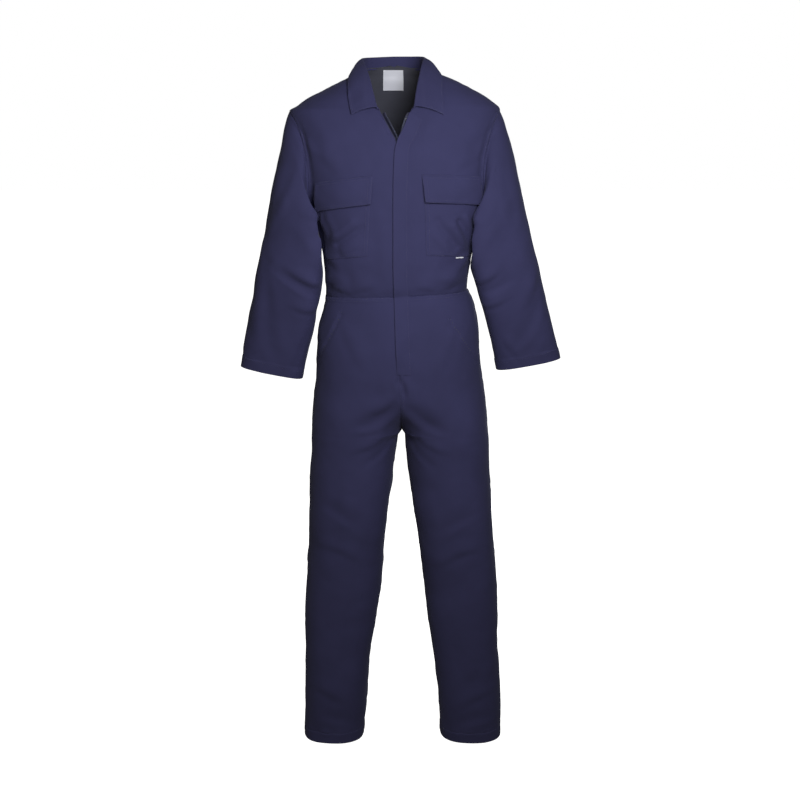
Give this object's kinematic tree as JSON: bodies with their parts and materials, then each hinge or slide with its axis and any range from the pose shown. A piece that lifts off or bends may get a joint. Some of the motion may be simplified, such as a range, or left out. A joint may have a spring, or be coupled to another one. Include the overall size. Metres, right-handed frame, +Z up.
{
  "type": "boiler suit, worn form",
  "caption": "Long-sleeved boiler suit in navy twill with an open collar, a covered front zip and flapped chest pockets, filled out as if worn.",
  "frame": {"origin": "middle of the neck base, between the shoulder neck points, where the wearer's shoulders hold the suit up", "axes": "+Z up, the chest faces -Y, +X towards the wearer's left"},
  "size_m": [0.7541, 0.3043, 1.6439],
  "materials": {
    "cloth": "matte polycotton twill, navy",
    "tape": "woven zip tape, navy",
    "zip_metal": "nickel-plated zip metal",
    "label": "woven satin label, blank"
  },
  "bodies": {
    "root": {"front_right": "cloth", "front_left": "cloth", "bodice_back": "cloth", "sleeve_front_right": "cloth", "sleeve_back_right": "cloth", "sleeve_front_left": "cloth", "sleeve_back_left": "cloth", "leg_front_right": "cloth", "leg_front_left": "cloth", "leg_back_right": "cloth", "leg_back_left": "cloth", "collar": "cloth", "fly_flap": "cloth", "pocket_right": "cloth", "pocket_left": "cloth", "pocket_flap_right": "cloth", "pocket_flap_left": "cloth", "zip_tape_right": "tape", "zip_tape_left": "tape", "zip_chain": "zip_metal", "zip_slider": "zip_metal", "zip_top_stop": "zip_metal", "neck_label": "label", "pocket_tab": "label"}
  },
  "joints": []
}
